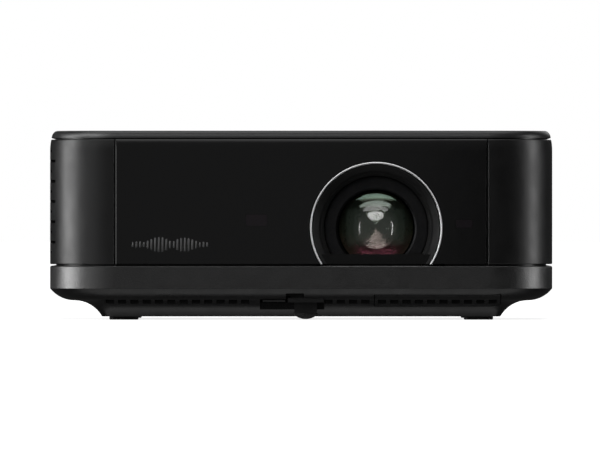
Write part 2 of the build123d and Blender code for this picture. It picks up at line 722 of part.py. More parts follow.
def main_board():
    board = block(-66, 26, 24, 90, BOARD_LOW, BOARD_TOP)
    board -= block(9.5, 26.1, 23.9, 78.0, BOARD_LOW - 1, BOARD_TOP + 1)
    for x, y in board_posts():
        board -= rod_z(x, y, BOARD_LOW - 1, BOARD_TOP + 1, 1.4)
    return board - rod_z(-SCREW_X, SCREW_Y, BOARD_LOW - 1, BOARD_TOP + 1, 4.0)


def board_components():
    """The processor with its finned cooler, memory, inductors and capacitors."""
    top = BOARD_TOP
    cooler = block(-44, -20, 40, 64, top, top + 3)
    for i in range(7):
        cooler += block(-44 + 3.8 * i, -42.8 + 3.8 * i, 40, 64, top + 3, top + 9)
    chips = [block(x, x + 10, y, y + 8, top, top + 1.2) for x, y in ((-14, 42), (-14, 54), (-60, 40))]
    cans = [rod_z(x, 34, top, top + 7, 3.0) for x in (-52, -44, -36, -28)]
    coils = [block(x, x + 7, 68, 75, top, top + 4) for x in (-46, -36)]
    module = [block(-6, 6, 26.5, 38, top, top + 1.6)]
    return Compound(children=[s.solid() for s in [cooler, *chips, *cans, *coils, *module]])


def hdmi_socket():
    x = port_places()[1]
    low, high, half = BOARD_TOP, BOARD_TOP + 6.0, 7.6
    shell = block(x - half, x + half, 83.5, PORT_FACE, low, high)
    mouth = [(-7.1, 5.5), (7.1, 5.5), (7.1, 2.6), (5.3, 0.6), (-5.3, 0.6), (-7.1, 2.6)]
    face = Plane(origin=(x, PORT_FACE + 1, low), x_dir=(1, 0, 0), z_dir=(0, -1, 0)) * polygon(mouth)
    shell -= extrude(face, 10.5, dir=(0, -1, 0))
    return shell + block(x - 5.8, x + 5.8, 84.5, PORT_FACE - 1.0, low + 2.9, low + 3.9)


def usb_socket():
    x = port_places()[2]
    low, half = BOARD_TOP, 6.7
    shell = block(x - half, x + half, 80.0, PORT_FACE, low, low + 6.9)
    shell -= block(x - half + 0.5, x + half - 0.5, 82.0, PORT_FACE + 1, low + 0.6, low + 6.3)
    return shell + block(x - 5.6, x + 5.6, 81.0, PORT_FACE - 1.0, low + 3.9, low + 5.6)


def audio_jack():
    x, z = port_places()[3], 29.6
    jack = block(x - 4, x + 4, 79.0, 92.5, BOARD_TOP, z + 3.4) + rod_y(x, z, 92.0, PORT_FACE, 3.2)
    return jack - rod_y(x, z, 82.0, PORT_FACE + 1, 1.8)


def dc_inlet():
    x, z = port_places()[0], 31.0
    inlet = block(x - 4.8, x + 4.8, 80.0, 92.5, BOARD_TOP, z + 4.6) + rod_y(x, z, 92.0, PORT_FACE, 4.0)
    return inlet - rod_y(x, z, 84.0, PORT_FACE + 1, 3.0) + rod_y(x, z, 83.0, PORT_FACE - 1.0, 1.0)


# ---------------------------------------------------------------- buttons
def button(x):
    """A round cap with a retaining flange below the cover and a stem over its switch."""
    cap = rod_z(x, BUTTON_Y, 68.0, Z_TOP - 0.4, BUTTON_R)
    cap = fillet(cap.edges().group_by(Axis.Z)[-1], 0.4)
    flange = rod_z(x, BUTTON_Y, 67.8, Z_COVER_IN - 0.3, BUTTON_R + 1.0)
    return cap + flange + rod_z(x, BUTTON_Y, 65.9, 68.1, 1.2)


def control_board():
    board = block(-40, 40, BUTTON_Y - 12, BUTTON_Y + 6, 62.2, 63.6)
    for x in button_places().values():
        board += block(x - 2.6, x + 2.6, BUTTON_Y - 2.6, BUTTON_Y + 2.6, 63.5, 65.1)
    return board


def status_light():
    return rod_z(0, BUTTON_Y, 63.7, Z_TOP - 0.42, 0.95)


# ---------------------------------------------------------------- front foot
def foot_leg():
    """The square leg with ratchet notches on its left face and a stop head on top."""
    x0, x1 = FOOT_X - LEG_W / 2, FOOT_X + LEG_W / 2
    y0, y1 = FOOT_Y - LEG_D / 2, FOOT_Y + LEG_D / 2
    leg = block(x0, x1, y0, y1, LEG_LOW, LEG_HIGH)
    leg += block(x0 - 0.5, x1 + 0.4, y0 - 0.8, y1 + 0.8, LEG_HIGH, LEG_HIGH + 1.5)
    for i in range(11):
        z = 10.2 + 1.8 * i
        leg -= Pos(x0, FOOT_Y, z) * Rot(0, 45, 0) * Box(0.9, LEG_D + 2, 0.9)
    return leg - rod_z(FOOT_X, FOOT_Y, LEG_LOW - 1, LEG_LOW + 4.2, 1.6)


def foot_tip():
    """The rubber tip: a domed sole with a thin rim, and a stud into the leg."""
    sole_r, curve_r, lowest = 4.5, 6.8, 0.25
    ball = Pos(FOOT_X, FOOT_Y, lowest + curve_r) * Sphere(curve_r)
    sole = ball & rod_z(FOOT_X, FOOT_Y, 0, LEG_LOW, sole_r)
    return sole + rod_z(FOOT_X, FOOT_Y, LEG_LOW - 0.5, LEG_LOW + 4.0, 1.55)


def foot_guide():
    """The collar that the leg slides in, the plate round it, and the ears for the lever's pin."""
    wall, slack = 1.5, 0.1
    x0, x1 = FOOT_X - LEG_W / 2, FOOT_X + LEG_W / 2
    y0, y1 = FOOT_Y - LEG_D / 2, FOOT_Y + LEG_D / 2
    guide = block(x0 - wall, x1 + wall, y0 - wall, y1 + wall, GUIDE_LOW, GUIDE_TOP)
    guide += block(-5.1, 8.5, -91.0, -78.6, 6.6, 8.3)
    guide -= block(x0 - slack, x1 + slack, y0 - slack, y1 + slack, 0, 30)
    guide -= block(x0 - wall - 1, x0 + 0.5, FOOT_Y - 3.1, FOOT_Y + 3.1, 8.3, 11.8)
    for y in (y0 - wall, y1 + wall - 1.4):
        ear = block(-10.2, x0 - wall + 0.2, y, y + 1.4, 9.0, 13.0)
        guide += ear - rod_y(LEVER_X, LEVER_Z, y - 1, y + 2.4, 0.95)
    return guide


def release_lever():
    """A rocking lever: a thumb tab under the case on one end, the pawl on the other."""
    y0, y1 = FOOT_Y - 2.8, FOOT_Y + 2.8
    lever = rod_y(LEVER_X, LEVER_Z, y0, y1, 1.9)
    lever += block(-8.9, -7.1, y0, y1, 7.0, LEVER_Z)
    lever += block(-14.5, -6.1, -89.4, -80.0, 6.8, 7.45)
    lever += block(LEVER_X, -4.0, y0 + 0.2, y1 - 0.2, 9.6, 10.9)
    lever += block(-4.3, -2.85, y0 + 0.2, y1 - 0.2, 9.6, 10.5)
    return lever - rod_y(LEVER_X, LEVER_Z, y0 - 1, y1 + 1, 0.98)


def lever_pin():
    return rod_y(LEVER_X, LEVER_Z, FOOT_Y - LEG_D / 2 - 1.6, FOOT_Y + LEG_D / 2 + 1.6, 0.93)


# ---------------------------------------------------------------- base fittings
def foot_pads():
    """Four soft pads in shallow pockets of the floor."""
    pads = []
    for x, y in foot_pad_places():
        pad = Pos(x, y, 0) * extrude(RectangleRounded(11, 11, 2.5), Z_FLOOR + 0.48)
        pads.append(chamfer(pad.edges().group_by(Axis.Z)[0], 0.25).solid())
    return Compound(children=pads)


def filter_cover():
    """The slotted hatch in the hull, over the intake filter."""
    cover = ring(hull_section()) & hatch_zone(HATCH_GAP)
    return cover.cut(*vent_slots(30.5, 10))


def air_filter():
    return block(HATCH_X0 + 2.5, HATCH_X1 - 3.0, FRONT + 6.5, HATCH_Y1 - 0.6, 9.75, 12.6)


def tripod_insert():
    """The brass insert, bored to its thread's minor radius."""
    insert = rod_z(0, 30, Z_FLOOR + 0.2, 9.3, 4.15)
    return insert - rod_z(0, 30, 0, 8.4, 2.55)


def case_screws():
    screws = []
    for x, y in screw_places():
        screw = rod_z(x, y, 13.6, 15.95, 3.1) + rod_z(x, y, 15.9, 30.0, 1.5)
        recess = Box(4.2, 0.9, 1.4) + Box(0.9, 4.2, 1.4)
        screws.append((screw - Pos(x, y, 14.1) * recess).solid())
    return Compound(children=screws)


NODES = {
    "bottom_case": bottom_case,
    "base_band": base_band,
    "left_side_panel": lambda: side_panel(-1),
    "right_side_panel": lambda: side_panel(1),
    "front_panel": front_panel,
    "rear_panel": rear_panel,
    "top_cover": top_cover,
    "grille_cloths": grille_cloths,
    "sensor_modules": sensor_modules,
    "ir_window": lambda: sensor_window("ir_window"),
    "camera_window": lambda: sensor_window("camera_window"),
    "lens_ring": lens_ring,
    "lens_bezel": lens_bezel,
    "front_lens_cell": front_lens_cell,
    "front_lens": front_lens,
    "lens_barrel": lens_barrel,
    "inner_lens_holder": inner_lens_holder,
    "inner_lenses": inner_lenses,
    "focus_ring": focus_ring,
    "focus_pinion": focus_pinion,
    "focus_motor": focus_motor,
    "optical_chassis": optical_chassis,
    "prism_cube": prism_cube,
    "lcd_panels": lcd_panels,
    "condenser_lenses": condenser_lenses,
    "led_modules": led_modules,
    "heatsink": heatsink,
    "heat_pipes": heat_pipes,
    "intake_fan_frame": lambda: place_intake(fan_frame()),
    "intake_fan_rotor": lambda: place_intake(fan_rotor()),
    "exhaust_fan_frame": lambda: place_exhaust(fan_frame()),
    "exhaust_fan_rotor": lambda: place_exhaust(fan_rotor()),
    "speaker_boxes": lambda: both_sides(speaker_box),
    "speaker_drivers": lambda: both_sides(speaker_driver),
    "left_speaker_cone": lambda: place_speaker(speaker_cone(), -1),
    "right_speaker_cone": lambda: place_speaker(speaker_cone(), 1),
    "main_board": main_board,
    "board_components": board_components,
    "hdmi_socket": hdmi_socket,
    "usb_socket": usb_socket,
    "audio_jack": audio_jack,
    "dc_inlet": dc_inlet,
    "control_board": control_board,
    "status_light": status_light,
    "foot_guide": foot_guide,
    "foot_leg": foot_leg,
    "foot_tip": foot_tip,
    "release_lever": release_lever,
    "lever_pin": lever_pin,
    "foot_pads": foot_pads,
    "filter_cover": filter_cover,
    "air_filter": air_filter,
    "tripod_insert": tripod_insert,
    "case_screws": case_screws,
}
for button_name, button_x in button_places().items():
    NODES[button_name] = lambda x=button_x: button(x)


def main():
    os.makedirs(PARTS, exist_ok=True)
    for name, build in NODES.items():
        export_step(build(), f"{PARTS}/{name}.step")


main()
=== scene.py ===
"""Looks of the home projector: materials, lens elements, printed marks, camera, light, floor."""

import json
import math

import bpy
import bmesh
from mathutils import Matrix, Vector


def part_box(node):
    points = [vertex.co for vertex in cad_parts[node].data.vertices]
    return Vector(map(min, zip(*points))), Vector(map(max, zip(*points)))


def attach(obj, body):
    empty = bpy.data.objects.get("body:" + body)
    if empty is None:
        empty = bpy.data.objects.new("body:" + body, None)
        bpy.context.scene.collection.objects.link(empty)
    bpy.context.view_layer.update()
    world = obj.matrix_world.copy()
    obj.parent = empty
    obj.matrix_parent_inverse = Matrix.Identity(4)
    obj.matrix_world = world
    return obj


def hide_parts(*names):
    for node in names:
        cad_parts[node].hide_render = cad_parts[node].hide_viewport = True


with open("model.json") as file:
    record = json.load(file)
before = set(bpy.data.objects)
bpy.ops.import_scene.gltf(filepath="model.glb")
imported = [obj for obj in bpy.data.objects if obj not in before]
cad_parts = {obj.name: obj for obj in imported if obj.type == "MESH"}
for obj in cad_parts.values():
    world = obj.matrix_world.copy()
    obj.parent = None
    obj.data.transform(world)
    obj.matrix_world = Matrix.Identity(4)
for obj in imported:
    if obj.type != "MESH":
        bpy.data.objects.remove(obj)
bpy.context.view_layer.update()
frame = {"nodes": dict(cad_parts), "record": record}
NODES = frame["nodes"]
MM = 0.001

# Places from the CAD, in millimetres: the lens axis and the front panel's face
LENS = Vector((28.3, 0.0, 34.6))
FRONT_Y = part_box("front_panel")[0].y / MM


# ---------------------------------------------------------------- node helpers
# A mix node's colour sockets, which share their names with its number and vector sockets
MIX_A, MIX_B, MIX_RESULT = 6, 7, 2


class Mat:
    """A node material: a Principled shader with a coordinate in millimetres."""

    def __init__(self, name, base, rough, spec=0.5, metal=0.0, coat=0.0, ior=1.5):
        self.mat = bpy.data.materials.new(name)
        self.mat.use_nodes = True
        self.tree = self.mat.node_tree
        self.tree.nodes.clear()
        out = self.new("ShaderNodeOutputMaterial")
        self.bsdf = self.new("ShaderNodeBsdfPrincipled")
        self.link(self.bsdf.outputs[0], out.inputs[0])
        self.set("Base Color", (*base, 1.0))
        self.set("Roughness", rough)
        self.set("Specular IOR Level", spec)
        self.set("Metallic", metal)
        self.set("Coat Weight", coat)
        self.set("Coat Roughness", 0.05)
        self.set("IOR", ior)
        coords = self.new("ShaderNodeTexCoord")
        scale = self.new("ShaderNodeVectorMath", operation="SCALE")
        scale.inputs["Scale"].default_value = 1.0 / MM
        self.link(coords.outputs["Object"], scale.inputs[0])
        self.mm = scale.outputs[0]
        self.height = None

    def new(self, kind, **settings):
        node = self.tree.nodes.new(kind)
        for key, value in settings.items():
            setattr(node, key, value)
        return node

    def link(self, a, b):
        self.tree.links.new(a, b)

    def set(self, name, value):
        self.bsdf.inputs[name].default_value = value

    def put(self, socket, value):
        """Links a socket or sets a plain value."""
        if isinstance(value, bpy.types.NodeSocket):
            self.link(value, socket)
        else:
            socket.default_value = value

    def math(self, operation, a, b=0.0, c=0.0):
        node = self.new("ShaderNodeMath", operation=operation)
        for socket, value in zip(node.inputs, (a, b, c)):
            self.put(socket, value)
        return node.outputs[0]

    def noise(self, size, detail=2.0, rough=0.5, vector=None):
        """Noise whose features are about size millimetres."""
        node = self.new("ShaderNodeTexNoise")
        node.inputs["Scale"].default_value = 1.0 / size
        node.inputs["Detail"].default_value = detail
        node.inputs["Roughness"].default_value = rough
        self.link(vector or self.mm, node.inputs["Vector"])
        return node.outputs["Fac"]

    def voronoi(self, size, feature="F1"):
        """Cells about size millimetres across."""
        node = self.new("ShaderNodeTexVoronoi", feature=feature)
        node.inputs["Scale"].default_value = 1.0 / size
        self.link(self.mm, node.inputs["Vector"])
        return node.outputs["Distance"]

    def stretched(self, scale, rotate=(0.0, 0.0, 0.0)):
        """The coordinate scaled and turned, for streaks."""
        node = self.new("ShaderNodeMapping")
        node.inputs["Scale"].default_value = scale
        node.inputs["Rotation"].default_value = rotate
        self.link(self.mm, node.inputs["Vector"])
        return node.outputs[0]

    def axes(self):
        """The coordinate's x, y and z, in millimetres."""
        node = self.new("ShaderNodeSeparateXYZ")
        self.link(self.mm, node.inputs[0])
        return node.outputs

    def ramp(self, factor, low, high, a=0.0, b=1.0):
        """Remaps factor from low..high to a..b, clamped."""
        node = self.new("ShaderNodeMapRange", clamp=True)
        for socket, value in zip(node.inputs, (factor, low, high, a, b)):
            self.put(socket, value)
        return node.outputs[0]

    def mix(self, factor, a, b):
        """A blend of two colours, each plain or a socket."""
        node = self.new("ShaderNodeMix", data_type="RGBA", clamp_factor=True)
        self.put(node.inputs["Factor"], factor)
        for slot, colour in ((MIX_A, a), (MIX_B, b)):
            plain = not isinstance(colour, bpy.types.NodeSocket)
            self.put(node.inputs[slot], (*colour, 1.0) if plain else colour)
        return node.outputs[MIX_RESULT]

    def edge(self, radius, low=0.02, high=0.22):
        """1 on worn edges, from how far the bevelled normal leans off the true one."""
        bevel = self.new("ShaderNodeBevel", samples=4)
        bevel.inputs["Radius"].default_value = radius * MM
        geometry = self.new("ShaderNodeNewGeometry")
        dot = self.new("ShaderNodeVectorMath", operation="DOT_PRODUCT")
        self.link(bevel.outputs[0], dot.inputs[0])
        self.link(geometry.outputs["Normal"], dot.inputs[1])
        lean = self.math("SUBTRACT", 1.0, dot.outputs["Value"])
        return self.ramp(lean, low, high)

    def bump(self, height, depth, strength=1.0):
        """Adds a bump of depth millimetres; bumps stack."""
        node = self.new("ShaderNodeBump")
        node.inputs["Strength"].default_value = strength
        node.inputs["Distance"].default_value = depth * MM
        self.link(height, node.inputs["Height"])
        if self.height is not None:
            self.link(self.height, node.inputs["Normal"])
        self.height = node.outputs[0]
        self.link(self.height, self.bsdf.inputs["Normal"])

    def colour(self, socket):
        self.link(socket, self.bsdf.inputs["Base Color"])

    def roughness(self, socket):
        self.link(socket, self.bsdf.inputs["Roughness"])


def shade(colour, factor):
    """A colour made darker or lighter."""
    return tuple(min(1.0, c * factor) for c in colour)


# ---------------------------------------------------------------- materials, sizes in millimetres
DUST, CHALK = (0.1, 0.1, 0.1), (0.12, 0.12, 0.12)
KNURL_PITCH = 1.1


def moulded(name, base, rough, grain, depth, spec=0.5, wear=0.5, spread=0.10, ior=1.5):
    """Moulded plastic: fine spark-eroded grain, mottled colour, dust, and polished edges."""
    m = Mat(name, base, rough, spec, ior=ior)
    cloud = m.noise(18.0, 3.0)
    fine = m.noise(grain, 3.0, 0.6)
    cells = m.voronoi(grain * 1.7)
    tone = m.mix(m.ramp(cloud, 0.3, 0.7), shade(base, 0.85), shade(base, 1.12))
    speck = m.mix(m.ramp(fine, 0.35, 0.7), tone, shade(base, 1.0 + spread * 2))
    patches = m.ramp(m.noise(6.0, 4.0), 0.35, 0.75, 0.25 * wear, wear)
    worn = m.math("MULTIPLY", m.edge(0.35), patches)
    m.colour(m.mix(worn, speck, shade(base, 2.2)))
    blotch = m.ramp(m.noise(7.0, 4.0), 0.3, 0.75, rough - 0.05, rough + 0.07)
    grit = m.ramp(fine, 0.3, 0.7, -0.04, 0.05)
    m.roughness(m.math("SUBTRACT", m.math("ADD", blotch, grit), m.math("MULTIPLY", worn, 0.12)))
    m.bump(m.math("ADD", m.math("MULTIPLY", cells, 0.6), fine), depth)
    return m.mat


def glossy(name, base, rough, tint=None):
    """Polished plastic: a faint orange peel, smears and specks of dust."""
    m = Mat(name, base, rough)
    smear = m.noise(1.0, 4.0, 0.6, m.stretched((0.02, 0.02, 0.07), (0.0, 0.5, 0.0)))
    dust = m.ramp(m.noise(0.35, 2.0, 0.7), 0.72, 0.80)
    smeared = m.mix(m.ramp(smear, 0.35, 0.7), base, tint or shade(base, 1.25))
    m.colour(m.mix(m.math("MULTIPLY", dust, 0.12), smeared, DUST))
    dulled = m.ramp(smear, 0.3, 0.75, rough, rough + 0.05)
    m.roughness(m.math("ADD", dulled, m.math("MULTIPLY", dust, 0.15)))
    m.bump(m.noise(5.0, 2.0), 0.02, 0.35)
    return m.mat


def metal(name, base, rough, brushed=None, cast=False, wear=0.3):
    """Metal: brushed along one axis, cast, or plain with fine streaks."""
    m = Mat(name, base, rough, metal=1.0)
    vector = m.stretched(brushed) if brushed else None
    streak = m.noise(0.35 if brushed else 0.8, 3.0, 0.6, vector)
    cloud = m.noise(6.0, 4.0)
    tone = m.mix(m.ramp(cloud, 0.3, 0.7), shade(base, 0.82), shade(base, 1.1))
    worn = m.math("MULTIPLY", m.edge(0.25), wear)
    streaked = m.mix(m.ramp(streak, 0.3, 0.7), shade(base, 0.8), tone)
    m.colour(m.mix(worn, streaked, shade(base, 1.35)))
    m.roughness(m.ramp(streak, 0.25, 0.75, rough - 0.06, rough + 0.12))
    if cast:
        m.bump(m.noise(0.5, 4.0, 0.7), 0.08)
    else:
        m.bump(streak, 0.01, 0.6)
    return m.mat


def woven(name, base, pitch):
    """A fine square weave, with the holes of a grille cloth."""
    m = Mat(name, base, 0.85, 0.25)
    m.set("Sheen Weight", 0.25)
    x, y, z = m.axes()

    def wave(v, shift=0.0):
        turned = m.math("MULTIPLY", v, 2 * math.pi / pitch)
        return m.math("SINE", m.math("ADD", turned, shift))

    across = m.math("ADD", x, y)
    crossing = m.math("MULTIPLY", wave(across), wave(z))
    thread = m.math("ADD", crossing, m.math("MULTIPLY", wave(across, 1.57), 0.3))
    m.colour(m.mix(m.ramp(thread, -0.8, 0.9), shade(base, 0.25), shade(base, 1.5)))
    m.roughness(m.ramp(m.noise(0.4), 0.3, 0.7, 0.75, 0.95))
    m.bump(thread, 0.08)
    return m.mat


def foam(name, base):
    """Open-cell filter foam."""
    m = Mat(name, base, 0.95, 0.2)
    cells = m.voronoi(0.9, "DISTANCE_TO_EDGE")
    m.colour(m.mix(m.ramp(cells, 0.02, 0.18), shade(base, 1.9), shade(base, 0.35)))
    m.roughness(m.ramp(m.noise(2.0), 0.3, 0.7, 0.85, 1.0))
    m.bump(cells, 0.4)
    return m.mat


def rubber(name, base):
    """Soft rubber with a fine diamond knurl, chalky where it rubs."""
    m = Mat(name, base, 0.72, 0.3)
    x, y, _ = m.axes()

    def wave(v):
        return m.math("SINE", m.math("MULTIPLY", v, 2 * math.pi / KNURL_PITCH))

    knurl = m.math("MULTIPLY", wave(m.math("ADD", x, y)), wave(m.math("SUBTRACT", x, y)))
    rubbed = m.math("MULTIPLY", m.edge(0.4), 0.5)
    chalk = m.math("ADD", rubbed, m.ramp(m.noise(1.5, 4.0), 0.55, 0.8, 0.0, 0.3))
    mottled = m.mix(m.ramp(m.noise(0.6), 0.3, 0.7), shade(base, 0.8), shade(base, 1.2))
    m.colour(m.mix(chalk, mottled, CHALK))
    m.roughness(m.ramp(m.noise(1.0, 3.0), 0.3, 0.7, 0.62, 0.85))
    m.bump(knurl, 0.05, 0.7)
    return m.mat


def board(name, mask, copper):
    """A circuit board: solder mask with traces, pads and vias under it."""
    m = Mat(name, mask, 0.35, 0.5, coat=0.3)
    grid = m.new("ShaderNodeTexBrick")
    grid.offset = 0.5
    for key, value in (("Scale", 0.2), ("Mortar Size", 0.06), ("Mortar Smooth", 0.1)):
        grid.inputs[key].default_value = value
    m.link(m.mm, grid.inputs["Vector"])
    trace = m.math("MULTIPLY", grid.outputs["Fac"], m.ramp(m.noise(4.0), 0.48, 0.52))
    via = m.ramp(m.voronoi(2.6), 0.10, 0.13, 1.0, 0.0)
    base = m.mix(m.math("MULTIPLY", trace, 0.7), shade(mask, 0.8), shade(mask, 2.0))
    m.colour(m.mix(m.math("MULTIPLY", via, 0.8), base, copper))
    m.roughness(m.ramp(m.noise(3.0), 0.3, 0.7, 0.28, 0.45))
    m.bump(trace, 0.03)
    return m.mat


def glass(name, tint, rough=0.0):
    """Clear glass with faint smears."""
    m = Mat(name, tint, rough, ior=1.52)
    m.set("Transmission Weight", 1.0)
    smear = m.noise(1.0, 3.0, 0.6, m.stretched((0.15, 0.15, 0.35)))
    m.roughness(m.ramp(smear, 0.45, 0.8, rough, rough + 0.02))
    m.colour(m.mix(m.ramp(m.noise(9.0), 0.3, 0.7), tint, shade(tint, 0.97)))
    return m.mat


def coated(name, colour, strength, rough=0.03):
    """A coated lens surface: clear, but for a coloured reflection of the given strength."""
    m = Mat(name, colour, rough, metal=1.0)
    m.set("Alpha", strength)
    film = m.noise(7.0, 2.0)
    m.colour(m.mix(m.ramp(film, 0.3, 0.7), shade(colour, 0.85), shade(colour, 1.05)))
    m.roughness(m.ramp(m.noise(3.0, 3.0), 0.4, 0.8, rough, rough + 0.03))
    return m.mat


def deep_glass(name, body, tint):
    """The last thing seen in the lens: dark olive glass, whose reflections low down get a painted
    rose tint.
    """
    m = Mat(name, body, 0.3, 1.0)
    # Painted reflection colour: below the lens axis the reflections are tinted rose by height, for
    # the magenta reflection low in the lens
    low = m.ramp(m.axes()[2], LENS.z - 6.5, LENS.z - 1.0, 1.0, 0.0)
    olive = (0.45, 0.5, 0.35)
    m.link(m.mix(low, olive, tint), m.bsdf.inputs["Specular Tint"])
    m.colour(m.mix(m.ramp(m.noise(5.0, 3.0), 0.3, 0.7), shade(body, 0.8), shade(body, 1.2)))
    m.roughness(m.ramp(m.noise(2.5, 3.0), 0.3, 0.7, 0.26, 0.34))
    return m.mat


MATERIALS = {
    "top_shell": moulded("top_shell", (0.012, 0.012, 0.0125), 0.37, 0.22, 0.010, wear=0.35),
    "side_shell": moulded("side_shell", (0.007, 0.007, 0.0073), 0.38, 0.22, 0.008, wear=0.35),
    "band": moulded("band", (0.010, 0.010, 0.0102), 0.37, 0.34, 0.050, 1.0, spread=0.5, ior=1.57),
    "base_shell": moulded("base_shell", (0.006, 0.006, 0.0062), 0.31, 0.3, 0.015, 0.3, wear=0.3),
    "front_gloss": glossy("front_gloss", (0.0035, 0.0035, 0.0037), 0.08),
    "rear_shell": moulded("rear_shell", (0.014, 0.014, 0.0145), 0.46, 0.3, 0.015, wear=0.35),
    "cloth": woven("cloth", (0.02, 0.02, 0.02), 0.45),
    "window": glossy("window", (0.010, 0.007, 0.010), 0.06, tint=(0.014, 0.008, 0.012)),
    "trim_ring": metal("trim_ring", (0.86, 0.86, 0.87), 0.34, wear=0.0),
    "bezel": moulded("bezel", (0.0045, 0.0045, 0.0046), 0.55, 0.2, 0.01, spec=0.3, wear=0.2),
    "cell": metal("cell", (0.045, 0.045, 0.047), 0.42),
    "barrel": moulded("barrel", (0.008, 0.008, 0.008), 0.6, 0.2, 0.01, spec=0.3, wear=0.2),
    "gear_plastic": moulded("gear_plastic", (0.62, 0.60, 0.54), 0.4, 0.25, 0.01, wear=0.2),
    "gear_brass": metal("gear_brass", (0.70, 0.50, 0.20), 0.3),
    "motor_steel": metal("motor_steel", (0.55, 0.55, 0.57), 0.3, (0.1, 1.0, 1.0)),
    "chassis_metal": metal("chassis_metal", (0.40, 0.40, 0.41), 0.5, cast=True),
    "lamp": metal("lamp", (0.55, 0.55, 0.56), 0.35, (1.0, 0.1, 1.0)),
    "sink": metal("sink", (0.66, 0.66, 0.68), 0.35, (0.08, 1.0, 1.0)),
    "copper": metal("copper", (0.72, 0.36, 0.22), 0.3, (1.0, 0.1, 1.0)),
    "fan_black": moulded("fan_black", (0.012, 0.012, 0.012), 0.45, 0.25, 0.012),
    "fan_grey": moulded("fan_grey", (0.06, 0.06, 0.065), 0.42, 0.25, 0.012),
    "speaker_body": moulded("speaker_body", (0.015, 0.015, 0.015), 0.5, 0.3, 0.015),
    "speaker_metal": metal("speaker_metal", (0.09, 0.09, 0.09), 0.45),
    "cone": woven("cone", (0.05, 0.05, 0.055), 0.8),
    "board": board("board", (0.012, 0.075, 0.035), (0.6, 0.42, 0.15)),
    "chip": moulded("chip", (0.02, 0.02, 0.022), 0.5, 0.2, 0.01),
    "socket_steel": metal("socket_steel", (0.62, 0.62, 0.63), 0.28, (1.0, 0.1, 1.0)),
    "socket_plastic": moulded("socket_plastic", (0.012, 0.012, 0.0125), 0.45, 0.2, 0.01),
    "button": moulded("button", (0.02, 0.02, 0.021), 0.4, 0.2, 0.008, wear=0.5),
    "light_pipe": moulded("light_pipe", (0.55, 0.58, 0.6), 0.25, 0.4, 0.01),
    "foot_plastic": moulded("foot_plastic", (0.022, 0.022, 0.0225), 0.4, 0.25, 0.012),
    "lever_plastic": moulded("lever_plastic", (0.06, 0.06, 0.061), 0.38, 0.25, 0.012, wear=0.7),
    "rubber": rubber("rubber", (0.02, 0.02, 0.02)),
    "steel": metal("steel", (0.30, 0.30, 0.31), 0.35, wear=0.8),
    "filter": foam("filter", (0.06, 0.06, 0.06)),
    "thread_brass": metal("thread_brass", (0.72, 0.53, 0.24), 0.28),
    "glass": glass("glass", (0.96, 1.0, 0.97)),
    "prism_glass": glass("prism_glass", (0.93, 0.98, 0.97)),
    "panel_glass": glass("panel_glass", (0.55, 0.6, 0.68), 0.05),
}

# Every CAD node takes the material of its slot in the record
for sub in frame["record"]["subparts"]:
    data = NODES[sub["node"]].data
    data.materials.clear()
    data.materials.append(MATERIALS[sub["material_slot"]])


# ---------------------------------------------------------------- mesh helpers
def add(name, bm, body, slot, material=None, smooth=True):
    """Makes an object of bm, whose vertices are in millimetres, riding on a body."""
    bmesh.ops.recalc_face_normals(bm, faces=bm.faces)
    mesh = bpy.data.meshes.new(name)
    bm.to_mesh(mesh)
    bm.free()
    mesh.transform(Matrix.Scale(MM, 4))
    for polygon in mesh.polygons:
        polygon.use_smooth = smooth
    mesh.materials.append(material or MATERIALS[slot])
    obj = bpy.data.objects.new(name, mesh)
    bpy.context.scene.collection.objects.link(obj)
    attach(obj, body)
    return obj


def prism_into(bm, outline, origin, u, v, depth):
    """Adds a closed prism: an outline along u and v from origin, grown by depth along u x v."""
    origin = Vector(origin)
    n = u.cross(v) * depth
    low = [bm.verts.new(origin + u * a + v * b) for a, b in outline]
    high = [bm.verts.new(vert.co + n) for vert in low]
    bm.faces.new(low)
    bm.faces.new(list(reversed(high)))
    for i in range(len(low)):
        j = (i + 1) % len(low)
        bm.faces.new([low[j], low[i], high[i], high[j]])


def ring_into(bm, centre, u, v, outer, inner, depth, start=0.0, end=360.0, steps=48):
    """Adds a flat ring, or an arc of one, with square ends."""
    full = end - start >= 360.0
    count = steps if full else max(8, int(steps * (end - start) / 360.0))
    stops = range(count if full else count + 1)
    angles = [math.radians(start + (end - start) * i / count) for i in stops]
    spokes = [u * math.cos(a) + v * math.sin(a) for a in angles]
    n = u.cross(v) * depth
    rows = []
    for r, lift in ((inner, 0), (outer, 0), (outer, 1), (inner, 1)):
        rows.append([bm.verts.new(centre + spoke * r + n * lift) for spoke in spokes])
    for k in range(4):
        a, b = rows[k], rows[(k + 1) % 4]
        for i in range(len(angles) - (0 if full else 1)):
            j = (i + 1) % len(angles)
            bm.faces.new([a[i], a[j], b[j], b[i]])
    if not full:
        bm.faces.new([row[0] for row in rows])
        bm.faces.new([row[-1] for row in reversed(rows)])


def lathe_into(bm, profile, centre, steps=128):
    """Adds a solid turned about Y from (radius, y) points that start and end on its axis."""
    centre = Vector(centre)
    rings = []
    for r, along in profile:
        if r == 0:
            rings.append([bm.verts.new(centre + Vector((0, along, 0)))])
            continue
        turns = [2 * math.pi * i / steps for i in range(steps)]
        rim = [Vector((r * math.cos(a), along, r * math.sin(a))) for a in turns]
        rings.append([bm.verts.new(centre + point) for point in rim])
    for a, b in zip(rings, rings[1:]):
        for i in range(steps):
            j = (i + 1) % steps
            face = [a[i % len(a)], a[j % len(a)], b[j % len(b)], b[i % len(b)]]
            face = list(dict.fromkeys(face))
            if len(face) > 2:
                bm.faces.new(face)


X, Y, Z = Vector((1, 0, 0)), Vector((0, 1, 0)), Vector((0, 0, 1))


# ---------------------------------------------------------------- lens
def sphere(pole, curve_r):
    """A lens surface, as y over the radius; a negative curve_r has its centre in front."""
    return lambda r: pole + math.copysign(abs(curve_r) - math.sqrt(curve_r ** 2 - r ** 2), curve_r)


def cone(pole, slope):
    """A conical surface, in the same form."""
    return lambda r: pole - slope * r


